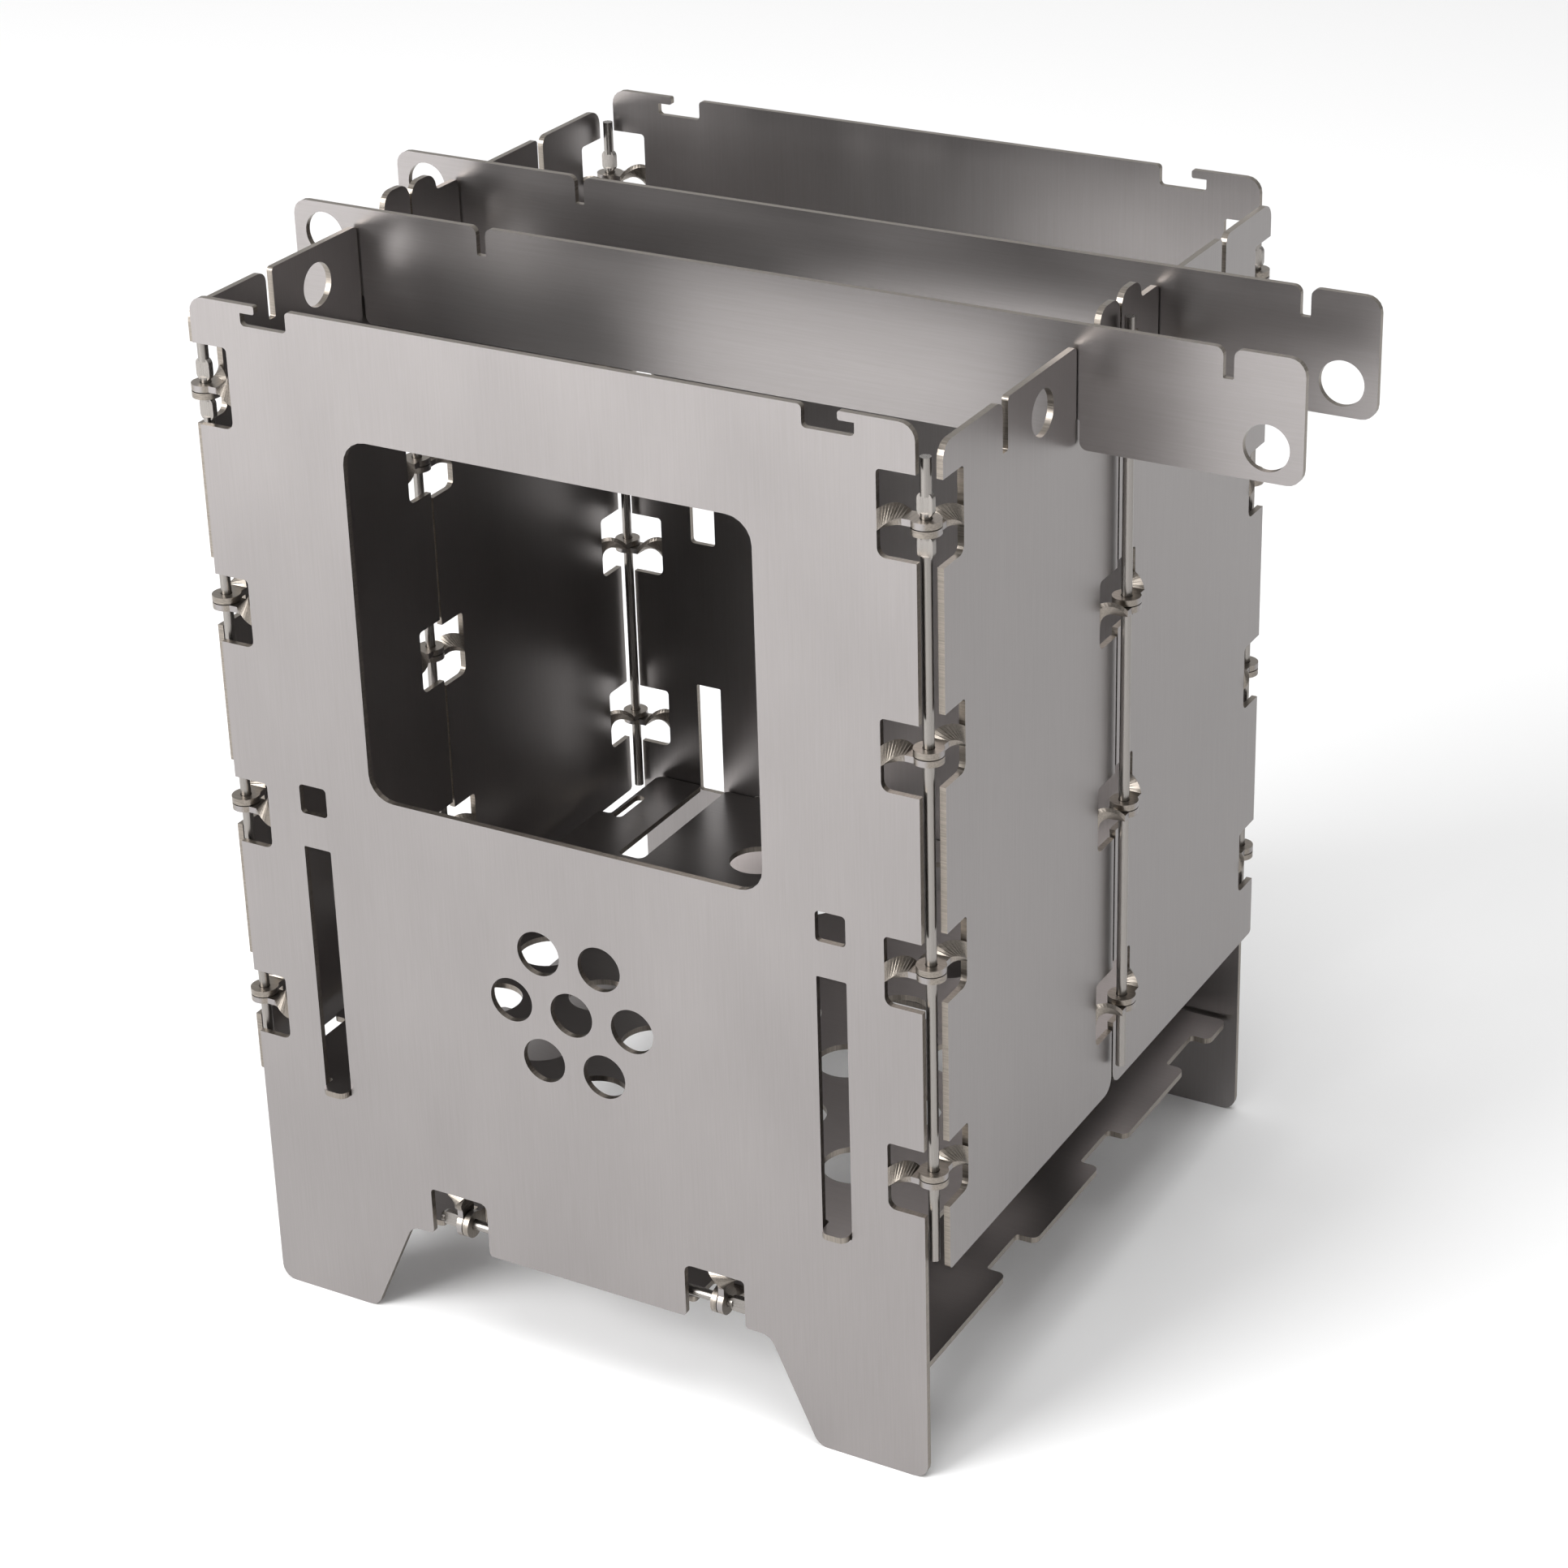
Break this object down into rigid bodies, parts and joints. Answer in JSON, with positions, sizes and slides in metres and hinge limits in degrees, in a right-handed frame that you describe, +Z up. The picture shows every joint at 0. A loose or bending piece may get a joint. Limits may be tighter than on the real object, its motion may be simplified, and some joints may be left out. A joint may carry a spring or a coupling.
{
  "type": "folding wood stove",
  "caption": "Folding box wood stove of thin laser-cut sheet metal, with rod-hinged walls, a feed window, a drop-down base plate, a tilting grate and pot trivets.",
  "frame": {"origin": "middle of the whole outline seen from above, trivets included, at the height the feet stand on", "axes": "+Z up, the wall with the feed window faces -Y, and the trivets run along X"},
  "size_m": [0.207, 0.1474, 0.207],
  "materials": {
    "titanium_sheet": "satin",
    "steel_rod": "satin"
  },
  "bodies": {
    "box": {"front_panel": "titanium_sheet", "rear_panel": "titanium_sheet", "right_front_side": "titanium_sheet", "right_rear_side": "titanium_sheet", "left_front_side": "titanium_sheet", "left_rear_side": "titanium_sheet", "rod_front_right": "steel_rod", "rod_front_left": "steel_rod", "rod_rear_right": "steel_rod", "rod_rear_left": "steel_rod", "rod_mid_right": "steel_rod", "rod_mid_left": "steel_rod", "base_rod": "steel_rod"},
    "base": {"base_plate": "titanium_sheet"},
    "grate": {"grate": "titanium_sheet"},
    "front_trivet": {"trivet_front": "titanium_sheet"},
    "rear_trivet": {"trivet_rear": "titanium_sheet"}
  },
  "joints": [
    {"name": "base_swing", "type": "hinge", "parent": "box", "child": "base", "pos_m": [-0.0143, -0.06875, 0.024], "axis": [1, 0, 0], "range_deg": [-38, 3.5]},
    {"name": "grate_swing", "type": "hinge", "parent": "box", "child": "grate", "pos_m": [-0.0143, 0.07115, 0.0482], "axis": [-1, 0, 0], "range_deg": [0, 12]},
    {"name": "trivet_front_lift", "type": "slide", "parent": "box", "child": "front_trivet", "axis": [0, 0, 1], "range_m": [0, 0.04]},
    {"name": "trivet_rear_lift", "type": "slide", "parent": "box", "child": "rear_trivet", "axis": [0, 0, 1], "range_m": [0, 0.04]}
  ]
}
